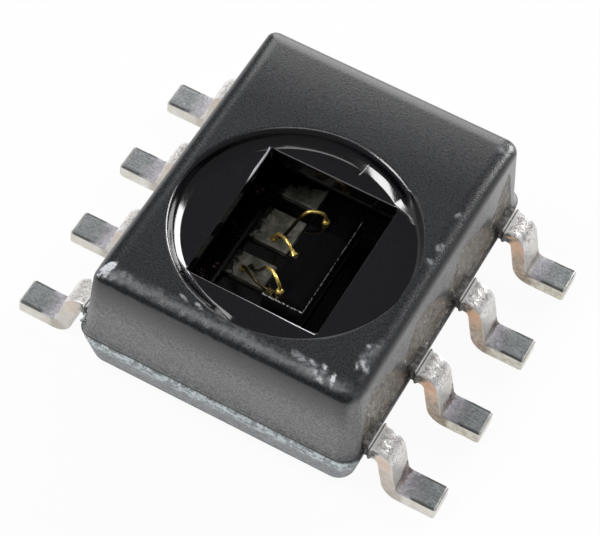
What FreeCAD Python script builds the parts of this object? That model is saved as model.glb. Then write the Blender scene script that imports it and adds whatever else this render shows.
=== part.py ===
import FreeCAD, Part
import math
import os

import Sketcher

# Open-cavity humidity sensor in a small-outline package with eight gull-wing leads.
# Millimetres. +X runs across the lead span, +Y along the body, +Z up from the board,
# and the origin lies on the board under the middle of the package.

document = FreeCAD.newDocument("HumiditySensor")

# Driving dimensions

SIZES = [
    ("lead_span", 6.00, "foot tip to foot tip, across both rows"),
    ("lead_pitch", 1.27, "from lead to lead along a row"),
    ("lead_width", 0.40, "width of a lead outside the body"),
    ("lead_thick", 0.205, "thickness of the lead frame"),
    ("lead_low", 0.665, "underside of the lead frame above the board"),
    ("foot_run", 0.715, "from the outer heel of a lead to its tip"),
    ("slope_angle", 74.0, "steepness of the gull wing, in degrees from the board"),
    ("bend_inner", 0.07, "inner radius of both bends of a lead"),
    ("dam_gap", 0.03, "from the side of the base to the trimmed dam bar"),
    ("dam_long", 0.05, "length of the dam bar stub along the lead"),
    ("dam_proud", 0.03, "how far the stub stands out of each side of the lead"),
    ("finger_pitch", 0.72, "from finger to finger at the die bed"),
    ("finger_width", 0.40, "width of a bonding finger"),
    ("broad_finger", 0.56, "width of the broad bonding finger"),
    ("finger_tip_bonded", 0.24, "tip of the bonded fingers from the middle plane"),
    ("finger_tip_spare", 0.72, "tip of the spare fingers from the middle plane"),
    ("jog_depth", 0.25, "how far inside the base's side the fan of fingers starts"),
    ("jog_end", 0.98, "where the fan of fingers ends, from the middle plane"),
    ("bed_middle", -0.17, "middle of the die bed along Y"),
    ("standoff", 0.10, "underside of the base above the board"),
    ("base_width", 3.94, "base across X at its top edge"),
    ("base_length", 4.90, "base along Y at its top edge"),
    ("base_top", 0.75, "top of the base's flange above the board"),
    ("base_taper_x", 0.12, "draw-in of the base towards its underside, across X"),
    ("base_taper_y", 0.16, "draw-in of the base towards its underside, along Y"),
    ("base_corner", 0.30, "radius of the base's upright corners"),
    ("base_edge", 0.09, "radius round the base's underside"),
    ("rim_rise", 0.10, "resin rim over the lead frame round the die bed"),
    ("rim_clearance", 0.02, "between the rim and the inside of the cap"),
    ("well_bonded", 0.79, "die bed from the middle plane, towards the bonded fingers"),
    ("well_spare", 0.95, "die bed from the middle plane, towards the spare fingers"),
    ("well_length", 2.70, "die bed along Y"),
    ("well_drop", 0.07, "floor of the die bed below the face of the fingers"),
    ("bead_thick", 0.035, "thickness of the seal between base and cap"),
    ("bead_proud", 0.02, "how far the seal stands out from the cap"),
    ("ledge", 0.06, "ledge of the base outside the cap"),
    ("cap_top", 2.00, "top of the cap above the board"),
    ("cap_taper_x", 0.12, "draw-in of the cap towards its top, across X"),
    ("cap_taper_y", 0.07, "draw-in of the cap towards its top, along Y"),
    ("cap_corner", 0.30, "radius of the cap's upright corners"),
    ("cap_edge", 0.12, "radius round the cap's top"),
    ("recess_radius", 1.50, "wall of the round filter seat"),
    ("recess_depth", 0.20, "depth of the filter seat"),
    ("recess_edge", 0.05, "rounding of the filter seat's rim and floor"),
    ("recess_middle", -0.45, "middle of the filter seat along Y"),
    ("window_width", 1.86, "window in the floor of the seat, across X"),
    ("window_length", 2.20, "window in the floor of the seat, along Y"),
    ("window_corner", 0.04, "radius of the window's corners"),
    ("roof_thick", 0.25, "roof of the chamber round the window"),
    ("chamber_width", 2.60, "chamber inside the cap, across X"),
    ("chamber_length", 3.10, "chamber inside the cap, along Y"),
    ("die_width", 0.575, "die across X"),
    ("die_length", 1.64, "die along Y"),
    ("die_thick", 0.30, "thickness of the die"),
    ("die_middle", 0.1625, "middle of the die across X"),
    ("attach_thick", 0.02, "adhesive under the die"),
    ("attach_proud", 0.01, "adhesive outside the edge of the die"),
    ("paddle_inset", 0.02, "edge of the paddle inside the edge of the die"),
    ("film_inset", 0.04, "sensing film from the die's far, near and outer edges"),
    ("film_thick", 0.010, "thickness of the sensing film"),
    ("electrode_inset", 0.03, "edge of the top electrode inside the film"),
    ("electrode_thick", 0.006, "thickness of the top electrode"),
    ("pad_size", 0.10, "side of a bond pad"),
    ("pad_margin", 0.015, "bare die beside each of the two columns of bond pads"),
    ("pad_thick", 0.006, "thickness of a bond pad"),
    ("wire_radius", 0.018, "radius of a bond wire"),
    ("ball_radius", 0.050, "radius of a ball bond"),
    ("ball_tall", 0.045, "height of a ball bond"),
    ("loop_rise", 0.20, "crest of a long wire over the face of the die"),
    ("loop_shoulder", 0.07, "from the ball to the start of a long wire's crest"),
    ("loop_crest", 0.19, "length of a long wire's crest"),
    ("hop_rise", 0.09, "crest of a short wire over the face of the die"),
    ("hop_shoulder", 0.16, "from the ball to the start of a short wire's crest"),
    ("hop_crest", 0.10, "length of a short wire's crest"),
    ("stitch_run", 0.07, "flat end of a wire on its pad or finger"),
    ("bend_radius", 0.045, "bends of a bond wire"),
]

sheet = document.addObject("Spreadsheet::Sheet", "Sizes")
for row, (alias, value, meaning) in enumerate(SIZES, start=1):
    sheet.set("A%d" % row, meaning)
    sheet.set("B%d" % row, str(value))
    sheet.setAlias("B%d" % row, alias)
document.recompute()

SAME_PLACE = 1e-5       # places nearer to each other than this are one place
BALL_ROUNDING = 0.4     # share of a ball bond's height that each of its rounded rims takes


def size(alias):
    """Reads one driving dimension as a plain number."""
    return float(sheet.get(alias))


# Shared expressions, each a place that more than one piece refers to

FRAME_TOP = "(Sizes.lead_low + Sizes.lead_thick)"
BEAD_TOP = "(Sizes.base_top + Sizes.bead_thick)"
RIM_TOP = "(%s + Sizes.rim_rise)" % FRAME_TOP
SEAT_FLOOR = "(Sizes.cap_top - Sizes.recess_depth)"
CHAMBER_TOP = "(%s - Sizes.roof_thick)" % SEAT_FLOOR
CAP_WIDE = "(Sizes.base_width / 2 - Sizes.ledge)"
CAP_LONG = "(Sizes.base_length / 2 - Sizes.ledge)"
DIE_LOW = "(%s + Sizes.attach_thick)" % FRAME_TOP
DIE_TOP = "(%s + Sizes.die_thick)" % DIE_LOW


# Helpers

def plane(body, role):
    """Finds one of a body's own origin planes by its role."""
    return [item for item in body.Origin.OriginFeatures if item.Role == role][0]


def flat_sketch(body, name, role, height):
    """Starts a sketch on an origin plane of its body, moved along the plane's normal."""
    sketch = body.newObject("Sketcher::SketchObject", name)
    sketch.AttachmentSupport = (plane(body, role), [""])
    sketch.MapMode = "FlatFace"
    sketch.setExpression("AttachmentOffset.Base.z", height)
    return sketch


def polygon_sketch(body, name, role, corners, height="0"):
    """Draws a closed outline through corners that are each held by two dimensions."""
    sketch = flat_sketch(body, name, role, height)
    spots = []
    for across, along in corners:
        spots.append((float(sketch.evalExpression(across)), float(sketch.evalExpression(along))))
    count = len(spots)
    for index in range(count):
        start = FreeCAD.Vector(*spots[index], 0)
        end = FreeCAD.Vector(*spots[(index + 1) % count], 0)
        sketch.addGeometry(Part.LineSegment(start, end), False)
    for index in range(count):
        sketch.addConstraint(Sketcher.Constraint("Coincident", index, 2, (index + 1) % count, 1))
    for index, rules in enumerate(corners):
        for kind, distance, rule in zip(("DistanceX", "DistanceY"), spots[index], rules):
            place = sketch.addConstraint(Sketcher.Constraint(kind, -1, 1, index, 1, distance))
            sketch.setExpression("Constraints[%d]" % place, rule)
    return sketch


def rectangle_sketch(body, name, half_x, half_y, middle_y, height):
    """Draws a rectangle about the middle plane, at a height over the board."""
    low = "%s - %s" % (middle_y, half_y)
    high = "%s + %s" % (middle_y, half_y)
    corners = [("-%s" % half_x, low), (half_x, low), (half_x, high), ("-%s" % half_x, high)]
    return polygon_sketch(body, name, "XY_Plane", corners, height)


def pad(body, name, sketch, length, midplane=False):
    """Extrudes a sketch along its normal, or to both sides of it."""
    feature = body.newObject("PartDesign::Pad", name)
    feature.Profile = sketch
    feature.Midplane = midplane
    feature.setExpression("Length", length)
    document.recompute()


def pocket(body, name, sketch, length, upward=False):
    """Cuts a sketch downward, or upward, and makes sure that the cut removed material."""
    before = body.Shape.Volume
    feature = body.newObject("PartDesign::Pocket", name)
    feature.Profile = sketch
    feature.Reversed = upward
    feature.setExpression("Length", length)
    document.recompute()
    if body.Shape.Volume >= before:
        raise RuntimeError("%s removes nothing" % name)


def round_edges(body, name, radius, wanted):
    """Rounds the edges of a body's present shape that pass a test."""
    base = body.Tip
    names = ["Edge%d" % (index + 1) for index, edge in enumerate(base.Shape.Edges) if wanted(edge)]
    if not names:
        raise RuntimeError("%s finds no edge" % name)
    feature = body.newObject("PartDesign::Fillet", name)
    feature.Base = (base, names)
    feature.setExpression("Radius", radius)
    document.recompute()


def tapered_block(body, name, low, high):
    """A block with flat drawn-in sides between two rectangles, each half sizes and a height."""
    feature = body.newObject("PartDesign::AdditiveWedge", name)
    feature.AttachmentSupport = (plane(body, "XZ_Plane"), [""])
    feature.MapMode = "FlatFace"
    rules = (("Xmin", "-%s" % low[0]), ("Xmax", low[0]), ("Zmin", "-%s" % low[1]), ("Zmax", low[1]),
             ("X2min", "-%s" % high[0]), ("X2max", high[0]), ("Z2min", "-%s" % high[1]),
             ("Z2max", high[1]), ("Ymin", low[2]), ("Ymax", high[2]))
    for field, rule in rules:
        feature.setExpression(field, rule)
    document.recompute()


def rises(edge):
    """True for an edge that climbs, such as an upright corner."""
    box = edge.BoundBox
    return box.ZLength > max(box.XLength, box.YLength)


def lies_at(height):
    """Makes a test for edges that lie flat at a height."""
    def wanted(edge):
        box = edge.BoundBox
        return max(abs(box.ZMin - height), abs(box.ZMax - height)) < SAME_PLACE
    return wanted


def new_body(name):
    """Starts a body of its own for a moulded, cut or bent piece."""
    body = document.addObject("PartDesign::Body", name)
    body.Label = name
    return body


def block(name, x_low, x_long, y_low, y_long, z_low, z_long):
    """A rectangular block from six expressions."""
    piece = document.addObject("Part::Box", name)
    piece.Label = name
    rules = (("Length", x_long), ("Width", y_long), ("Height", z_long), ("Placement.Base.x", x_low),
             ("Placement.Base.y", y_low), ("Placement.Base.z", z_low))
    for field, rule in rules:
        piece.setExpression(field, rule)
    return piece


def cut_out(name, stock, tools):
    """Takes the shapes of neighbouring pieces out of a moulding that grips them."""
    gathered = document.addObject("Part::Compound", name + "_grip")
    gathered.Links = tools
    piece = document.addObject("Part::Cut", name)
    piece.Base = stock
    piece.Tool = gathered
    piece.Label = name
    document.recompute()
    return piece


# Leads, numbered round the package as on any small-outline part: 1 to 4 down the -X side, 5 to 8 up +X

HEEL = "(Sizes.lead_span / 2 - Sizes.foot_run)"
SLOPE_SHIFT = "(Sizes.lead_thick / sin(Sizes.slope_angle))"
ANKLE_IN = "(%s - Sizes.lead_low / tan(Sizes.slope_angle))" % HEEL
ANKLE_OUT = "(%s + %s - %s / tan(Sizes.slope_angle))" % (HEEL, SLOPE_SHIFT, FRAME_TOP)
INSTEP = "(%s + %s - Sizes.lead_thick / tan(Sizes.slope_angle))" % (HEEL, SLOPE_SHIFT)
JOG_START = "(Sizes.base_width / 2 - Sizes.jog_depth)"
FAN_PLACES = (1.5, 0.5, -0.5, -1.5)


def wing(body):
    """The part outside the body: shoulder, slope and foot, with both bends rounded."""
    corners = [
        (JOG_START, "Sizes.lead_low"),
        (ANKLE_IN, "Sizes.lead_low"),
        (HEEL, "0"),
        ("Sizes.lead_span / 2", "0"),
        ("Sizes.lead_span / 2", "Sizes.lead_thick"),
        (INSTEP, "Sizes.lead_thick"),
        (ANKLE_OUT, FRAME_TOP),
        (JOG_START, FRAME_TOP),
    ]
    side = polygon_sketch(body, "WingSide", "XZ_Plane", corners)
    pad(body, "Wing", side, "Sizes.lead_width", midplane=True)
    value = body.evalExpression
    tight = ((ANKLE_IN, "Sizes.lead_low"), (INSTEP, "Sizes.lead_thick"))
    wide = ((ANKLE_OUT, FRAME_TOP), (HEEL, "0"))
    for name, spots, radius in (("TightBends", tight, "Sizes.bend_inner"),
                                ("WideBends", wide, "Sizes.bend_inner + Sizes.lead_thick")):
        places = [(float(value(across)), float(value(up))) for across, up in spots]

        def at_a_bend(edge):
            middle = edge.BoundBox.Center
            crosses = abs(edge.BoundBox.YLength - size("lead_width")) < SAME_PLACE
            return crosses and any(math.hypot(middle.x - x, middle.z - z) < SAME_PLACE for x, z in places)

        round_edges(body, name, radius, at_a_bend)


def finger(body, offset, tip, width):
    """The part inside the body: it fans in from the lead's row to the die bed."""
    half_row = "Sizes.lead_width / 2"
    half_tip = "%s / 2" % width
    corners = [
        (JOG_START, "-%s" % half_row),
        (JOG_START, half_row),
        ("Sizes.jog_end", "%s + %s" % (offset, half_tip)),
        (tip, "%s + %s" % (offset, half_tip)),
        (tip, "%s - %s" % (offset, half_tip)),
        ("Sizes.jog_end", "%s - %s" % (offset, half_tip)),
    ]
    plan = polygon_sketch(body, "FingerPlan", "XY_Plane", corners, "Sizes.lead_low")
    pad(body, "Finger", plan, "Sizes.lead_thick")


def dam_stub(body):
    """The stub that the trimmed dam bar leaves across the shoulder."""
    start = "Sizes.base_width / 2 + Sizes.dam_gap"
    half = "(Sizes.lead_width / 2 + Sizes.dam_proud)"
    corners = [
        (start, "-%s" % half),
        ("%s + Sizes.dam_long" % start, "-%s" % half),
        ("%s + Sizes.dam_long" % start, half),
        (start, half),
    ]
    plan = polygon_sketch(body, "DamPlan", "XY_Plane", corners, "Sizes.lead_low")
    pad(body, "DamStub", plan, "Sizes.lead_thick")


def lead(number, place, outward, tip, width):
    """One lead, drawn pointing to +X on its own row and turned round for the -X side."""
    body = new_body("lead_%d" % number)
    row = "(%s * Sizes.lead_pitch)" % place
    body.setExpression("Placement.Base.y", row)
    if outward < 0:
        body.Placement.Rotation = FreeCAD.Rotation(FreeCAD.Vector(0, 0, 1), 180)
    offset = "(%d * (Sizes.bed_middle + %s * Sizes.finger_pitch - %s))" % (outward, place, row)
    wing(body)
    finger(body, offset, tip, width)
    dam_stub(body)
    return body


leads = []
for number, place in enumerate(FAN_PLACES, start=1):
    width = "Sizes.broad_finger" if number == 2 else "Sizes.finger_width"
    leads.append(lead(number, place, -1, "Sizes.finger_tip_bonded", width))
for number, place in enumerate(reversed(FAN_PLACES), start=5):
    leads.append(lead(number, place, 1, "Sizes.finger_tip_spare", "Sizes.finger_width"))

# Die, its adhesive and the paddle of the lead frame that carries it

DIE_LEFT = "(Sizes.die_middle - Sizes.die_width / 2)"
DIE_NEAR = "(Sizes.bed_middle - Sizes.die_length / 2)"
PAD_STRIP = "(2 * Sizes.pad_size + 3 * Sizes.pad_margin)"


def under_die(name, grow, z_low, z_long):
    """A layer centred under the die, larger or smaller than it by the same amount all round."""
    return block(name, "%s - %s" % (DIE_LEFT, grow), "Sizes.die_width + 2 * %s" % grow,
                 "%s - %s" % (DIE_NEAR, grow), "Sizes.die_length + 2 * %s" % grow, z_low, z_long)


paddle = under_die("die_paddle", "(-Sizes.paddle_inset)", "Sizes.lead_low", "Sizes.lead_thick")
attach = under_die("die_attach", "Sizes.attach_proud", FRAME_TOP, "Sizes.attach_thick")
die = under_die("sensor_die", "0", DIE_LOW, "Sizes.die_thick")

film = block(
    "sensing_film",
    "%s + %s" % (DIE_LEFT, PAD_STRIP),
    "Sizes.die_width - %s - Sizes.film_inset" % PAD_STRIP,
    "%s + Sizes.film_inset" % DIE_NEAR,
    "Sizes.die_length - 2 * Sizes.film_inset",
    DIE_TOP,
    "Sizes.film_thick",
)
electrode = block(
    "top_electrode",
    "%s + %s + Sizes.electrode_inset" % (DIE_LEFT, PAD_STRIP),
    "Sizes.die_width - %s - Sizes.film_inset - 2 * Sizes.electrode_inset" % PAD_STRIP,
    "%s + Sizes.film_inset + Sizes.electrode_inset" % DIE_NEAR,
    "Sizes.die_length - 2 * Sizes.film_inset - 2 * Sizes.electrode_inset",
    "%s + Sizes.film_thick" % DIE_TOP,
    "Sizes.electrode_thick",
)

# Bond wires. On the die each wire has a pad in one of two columns, the outer one along the bonded
# edge, and a distance from the die's near end, or from its far end if negative. On the finger of
# its lead it has a distance from the tip and one from the middle line. The long wires start with
# a ball on the die, the short ones with a ball on the finger.

LONG_WIRES = (
    {"name": "bond_wire_1", "lead": 3, "from_end": 0.13, "from_tip": 0.29, "from_line": 0.03},
    {"name": "bond_wire_2", "lead": 2, "from_end": -0.26, "from_tip": 0.19, "from_line": -0.09},
)
SHORT_WIRES = (
    {"name": "bond_wire_3", "lead": 3, "from_end": 0.07, "from_tip": 0.36, "from_line": -0.05},
    {"name": "bond_wire_4", "lead": 2, "from_end": 0.73, "from_tip": 0.245, "from_line": -0.16},
)
frame_top = size("lead_low") + size("lead_thick")
die_face = frame_top + size("attach_thick") + size("die_thick")


def die_spot(wire):
    """A wire's place on the face of its bond pad."""
    column = 1 if wire in LONG_WIRES else 0
    from_edge = (column + 1) * size("pad_margin") + (column + 0.5) * size("pad_size")
    across = size("die_middle") - size("die_width") / 2 + from_edge
    end = -size("die_length") / 2 if wire["from_end"] > 0 else size("die_length") / 2
    return FreeCAD.Vector(across, size("bed_middle") + end + wire["from_end"], die_face + size("pad_thick"))


def finger_spot(wire):
    """A wire's place on the face of its bonded finger."""
    middle_line = size("bed_middle") + FAN_PLACES[wire["lead"] - 1] * size("finger_pitch")
    across = -size("finger_tip_bonded") - wire["from_tip"]
    return FreeCAD.Vector(across, middle_line + wire["from_line"], frame_top)


def rounded_path(points, radius):
    """Joins straight runs by tangent arcs."""
    edges = []
    start = points[0]
    for before, corner, after in zip(points, points[1:], points[2:]):
        back = (before - corner).normalize()
        ahead = (after - corner).normalize()
        turn = math.pi - back.getAngle(ahead)
        reach = radius * math.tan(turn / 2)
        bisector = (back + ahead).normalize()
        centre = corner + bisector * (radius / math.cos(turn / 2))
        entry = corner + back * reach
        leave = corner + ahead * reach
        middle = centre - bisector * radius
        edges.append(Part.makeLine(start, entry))
        edges.append(Part.Arc(entry, middle, leave).toShape())
        start = leave
    edges.append(Part.makeLine(start, points[-1]))
    return Part.Wire(edges)


def bond_wire(name, ball_spot, end_spot, crest, shoulder, flat):
    """A ball, a wire over a crest and its flat end, all in one upright plane."""
    along = FreeCAD.Vector(end_spot.x - ball_spot.x, end_spot.y - ball_spot.y, 0)
    span = along.Length
    along.normalize()
    radius = size("wire_radius")
    lying = end_spot.z + radius
    heights = (
        (0, ball_spot.z + size("ball_tall") / 2),
        (shoulder / 2, crest - shoulder / 2),
        (shoulder + flat, crest),
        (span - size("stitch_run"), lying),
        (span, lying),
    )
    points = [FreeCAD.Vector(ball_spot.x, ball_spot.y, 0) + along * run + FreeCAD.Vector(0, 0, up)
              for run, up in heights]
    path = rounded_path(points, size("bend_radius"))
    circle = Part.makeCircle(radius, points[0], points[1] - points[0])
    tube = path.makePipeShell([Part.Wire(circle)], True, False)
    ball = Part.makeCylinder(size("ball_radius"), size("ball_tall"), ball_spot)
    rims = [edge for edge in ball.Edges if edge.BoundBox.ZLength < SAME_PLACE]
    ball = ball.makeFillet(BALL_ROUNDING * size("ball_tall"), rims)
    piece = document.addObject("Part::Feature", name)
    piece.Label = name
    piece.Shape = ball.fuse(tube).removeSplitter()
    length = sum(edge.Length for edge in path.Edges)
    print("%s: wire %.3f mm, volume %.6f of %.6f mm3" % (
        name, length, tube.Volume, math.pi * radius ** 2 * length))
    return piece


wires = []
for wire in LONG_WIRES:
    ends = (die_spot(wire), finger_spot(wire))
    loop = (die_face + size("loop_rise"), size("loop_shoulder"), size("loop_crest"))
    wires.append(bond_wire(wire["name"], *ends, *loop))
for wire in SHORT_WIRES:
    ends = (finger_spot(wire), die_spot(wire))
    hop = (die_face + size("hop_rise"), size("hop_shoulder"), size("hop_crest"))
    wires.append(bond_wire(wire["name"], *ends, *hop))

pads = document.addObject("Part::Feature", "bond_pads")
pads.Label = "bond_pads"
side = size("pad_size")
pad_boxes = []
for wire in LONG_WIRES + SHORT_WIRES:
    corner = die_spot(wire) - FreeCAD.Vector(side / 2, side / 2, size("pad_thick"))
    pad_boxes.append(Part.makeBox(side, side, size("pad_thick"), corner))
pads.Shape = Part.makeCompound(pad_boxes)

# Base: a tapered tray whose rim stands up inside the cap and whose well holds the die


def make_base():
    """The lower moulding, without the lead frame that it grips."""
    body = new_body("base_moulding")
    half_x = "(Sizes.base_width / 2)"
    half_y = "(Sizes.base_length / 2)"
    low = ("(%s - Sizes.base_taper_x)" % half_x, "(%s - Sizes.base_taper_y)" % half_y, "Sizes.standoff")
    tapered_block(body, "Tray", low, (half_x, half_y, "Sizes.base_top"))
    round_edges(body, "TrayCorners", "Sizes.base_corner", rises)
    round_edges(body, "TrayUnderside", "Sizes.base_edge", lies_at(size("standoff")))
    rim_x = "(Sizes.chamber_width / 2 - Sizes.rim_clearance)"
    rim_y = "(Sizes.chamber_length / 2 - Sizes.rim_clearance)"
    rim = rectangle_sketch(body, "RimPlan", rim_x, rim_y, "Sizes.bed_middle", "Sizes.base_top")
    pad(body, "Rim", rim, "%s - Sizes.base_top" % RIM_TOP)
    near = "Sizes.bed_middle - Sizes.well_length / 2"
    far = "Sizes.bed_middle + Sizes.well_length / 2"
    corners = [("-Sizes.well_bonded", near), ("Sizes.well_spare", near), ("Sizes.well_spare", far),
               ("-Sizes.well_bonded", far)]
    well = polygon_sketch(body, "WellPlan", "XY_Plane", corners, RIM_TOP)
    pocket(body, "Well", well, "Sizes.rim_rise + Sizes.well_drop")
    return body


base = cut_out("base", make_base(), leads + [paddle])


# Seal between the ledge of the base and the foot of the cap

def make_bead():
    """The seal ring, before the leads are cut out of it."""
    body = new_body("bead_ring")
    outer = rectangle_sketch(body, "BeadPlan", "(%s + Sizes.bead_proud)" % CAP_WIDE,
                             "(%s + Sizes.bead_proud)" % CAP_LONG, "0", "Sizes.base_top")
    pad(body, "Bead", outer, "Sizes.bead_thick")
    round_edges(body, "BeadCorners", "Sizes.cap_corner", rises)
    inner = rectangle_sketch(body, "BeadHole", "(Sizes.chamber_width / 2)", "(Sizes.chamber_length / 2)",
                             "Sizes.bed_middle", BEAD_TOP)
    pocket(body, "BeadOpening", inner, "Sizes.bead_thick")
    return body


bead = cut_out("seal_bead", make_bead(), leads)


# Cap: a hood with the filter seat on top, the window in the seat's floor and the chamber below

def make_cap():
    """The upper moulding, before the slots for the leads are cut."""
    body = new_body("cap_moulding")
    high = ("(%s - Sizes.cap_taper_x)" % CAP_WIDE, "(%s - Sizes.cap_taper_y)" % CAP_LONG, "Sizes.cap_top")
    tapered_block(body, "Hood", (CAP_WIDE, CAP_LONG, BEAD_TOP), high)
    round_edges(body, "HoodCorners", "Sizes.cap_corner", rises)
    round_edges(body, "HoodTop", "Sizes.cap_edge", lies_at(size("cap_top")))

    seat = flat_sketch(body, "SeatPlan", "XY_Plane", "Sizes.cap_top")
    middle = FreeCAD.Vector(0, size("recess_middle"), 0)
    seat.addGeometry(Part.Circle(middle, FreeCAD.Vector(0, 0, 1), size("recess_radius")), False)
    seat.addConstraint(Sketcher.Constraint("PointOnObject", 0, 3, -2))
    offset = seat.addConstraint(Sketcher.Constraint("DistanceY", -1, 1, 0, 3, size("recess_middle")))
    seat.setExpression("Constraints[%d]" % offset, "Sizes.recess_middle")
    radius = seat.addConstraint(Sketcher.Constraint("Radius", 0, size("recess_radius")))
    seat.setExpression("Constraints[%d]" % radius, "Sizes.recess_radius")
    pocket(body, "Seat", seat, "Sizes.recess_depth")

    def on_seat_wall(edge):
        round_one = hasattr(edge.Curve, "Radius")
        return round_one and abs(edge.Curve.Radius - size("recess_radius")) < SAME_PLACE

    round_edges(body, "SeatRims", "Sizes.recess_edge", on_seat_wall)

    chamber = rectangle_sketch(body, "ChamberPlan", "(Sizes.chamber_width / 2)", "(Sizes.chamber_length / 2)",
                               "Sizes.bed_middle", BEAD_TOP)
    pocket(body, "Chamber", chamber, "%s - %s" % (CHAMBER_TOP, BEAD_TOP), upward=True)
    window = rectangle_sketch(body, "WindowPlan", "(Sizes.window_width / 2)", "(Sizes.window_length / 2)",
                              "Sizes.recess_middle", SEAT_FLOOR)
    pocket(body, "Window", window, "Sizes.roof_thick")
    window_x = size("window_width") / 2

    def at_window_corner(edge):
        return rises(edge) and abs(abs(edge.BoundBox.Center.x) - window_x) < SAME_PLACE

    round_edges(body, "WindowCorners", "Sizes.window_corner", at_window_corner)
    return body


cap = cut_out("cap", make_cap(), leads)

# Every piece is checked before anything is written

document.recompute()
pieces = [cap, bead, base] + leads
pieces += [paddle, attach, die, film, electrode, pads] + wires
for item in document.Objects:
    if "Invalid" in item.State or "Error" in item.State:
        raise RuntimeError("%s failed: %s" % (item.Label, item.State))
for piece in pieces:
    if piece.Shape.isNull() or not piece.Shape.isValid():
        raise RuntimeError("%s has no valid shape" % piece.Label)

os.makedirs("parts", exist_ok=True)
for piece in pieces:
    piece.Shape.exportStep(os.path.join("parts", piece.Label + ".step"))
    print("%s: %d solid(s), %.5f mm3" % (piece.Label, len(piece.Shape.Solids), piece.Shape.Volume))
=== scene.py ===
import random
from functools import cached_property, partialmethod
from math import atan2, cos, dist, pi, radians, sin, tan

import bmesh
import bpy
import numpy as np
from mathutils import Matrix, Quaternion, Vector, noise


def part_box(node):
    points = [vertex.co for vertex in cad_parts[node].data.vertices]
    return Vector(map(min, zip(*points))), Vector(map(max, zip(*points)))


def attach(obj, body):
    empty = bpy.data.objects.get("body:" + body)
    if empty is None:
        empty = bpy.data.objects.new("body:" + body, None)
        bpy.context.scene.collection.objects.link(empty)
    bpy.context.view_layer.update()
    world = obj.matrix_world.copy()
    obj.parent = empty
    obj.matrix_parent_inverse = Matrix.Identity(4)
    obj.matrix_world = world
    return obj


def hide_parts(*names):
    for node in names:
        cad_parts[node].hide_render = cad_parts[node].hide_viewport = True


# Open-cavity humidity sensor in a small-outline package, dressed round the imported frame.
# Sizes are in millimetres in the frame's own axes, and MM turns them into metres.

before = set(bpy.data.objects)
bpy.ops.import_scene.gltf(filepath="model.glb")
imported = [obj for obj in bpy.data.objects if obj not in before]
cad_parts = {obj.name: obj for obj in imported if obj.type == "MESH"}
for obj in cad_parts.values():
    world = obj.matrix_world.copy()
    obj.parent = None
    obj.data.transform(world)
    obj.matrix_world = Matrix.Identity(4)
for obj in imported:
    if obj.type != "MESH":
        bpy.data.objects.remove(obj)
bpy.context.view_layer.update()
MM = 0.001


def node_box(name):
    """Lowest and highest corner of a node of the frame, in millimetres."""
    low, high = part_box(name)
    return np.array(low) / MM, np.array(high) / MM


# Sizes that the frame gives

cap_low, cap_high = node_box("cap")
base_low, base_high = node_box("base")
bead_low, bead_high = node_box("seal_bead")
die_low, die_high = node_box("sensor_die")

# Cap

CAP_CORNERS = (0.2, 0.13, 0.16, 0.26)  # upright corners: far right, far left, near left, near right
CAP_TOP = (1.8175, 2.32)  # half sizes at the top
CAP_LEAN = -0.0175  # shift of the top across X
CAP_EDGE = (0.24, 0.17)  # rounding of the top edge: how far in and how far down
CROWN = (1.1, 0.039)  # gentle fall of the top towards its far end: where it starts and how deep
FLARE = 0.09  # height of the hollow rounding at the foot
FLARE_OUT = 0.55 * FLARE  # and how far it spreads
AXIS = (-0.02, -0.45)  # upright middle line of the filter seat and the window
SEAT_FLOOR = 1.8
SEAT_BLACK = (1.55, 1.61)  # radii between which the seat's smooth black ends
DULL_START = (1.4, 1.54)  # radius where the dull wall starts, for a sloped and for a steep wall
WINDOW = (0.915, 1.1)  # half sizes of the window
WINDOW_CORNER = 0.04
WINDOW_EDGE = 0.045  # scale of the rounding of its top edge
EDGE_SHARES = (0.25, 0.55)  # that rounding as a share of the scale: at least, and more where it glints
CHAMBER = (1.3, 1.55)  # half sizes of the chamber under the cap's roof
CHAMBER_TOP = 1.55
BED_MIDDLE = -0.17  # middle of the chamber, the well and the die along Y
INNER_CORNER = 0.03  # upright corners of chamber, rim and well
SCRATCH = ((0.219, 0.854), (0.267, 1.023))  # ends of a light scratch across the seat's wall

# Radius and tilt in degrees of the seat's wall, where it is sloped to show a bright band and where it
# is steep, and the arcs round the seat, in degrees, outside which the wall is steep and dull

SEAT_TILT = ((1.375, 0), (1.415, 26), (1.49, 34), (1.52, 60), (1.545, 62), (1.615, 0))
STEEP_TILT = ((1.375, 0), (1.575, 0.5), (1.585, 70), (1.59, 83), (1.6, 83), (1.605, 60), (1.615, 0))
STEEP_ARC = ((39, 54, 256, 271), (1, 0, 0, 1))
DULL_ARC = ((46, 51, 257, 262), (1, 0, 0, 1))

# Base

BASE_TOP = 0.75  # ledge of the base
BASE_DRAW = (0.12, 0.16)  # draw-in of the base towards its underside
BASE_CORNER = 0.23
BASE_SHOULDER = 0.045  # rounding between ledge and side
BASE_EDGE = 0.09  # rounding round the underside
RIM = (1.28, 1.53)  # half sizes of the rim that stands inside the cap
WELL = (0.87, 1.35)  # half sizes of the die bed
WELL_SHIFT = 0.08  # middle of the die bed across X
WELL_FLOOR = 0.8

# Leads

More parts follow.
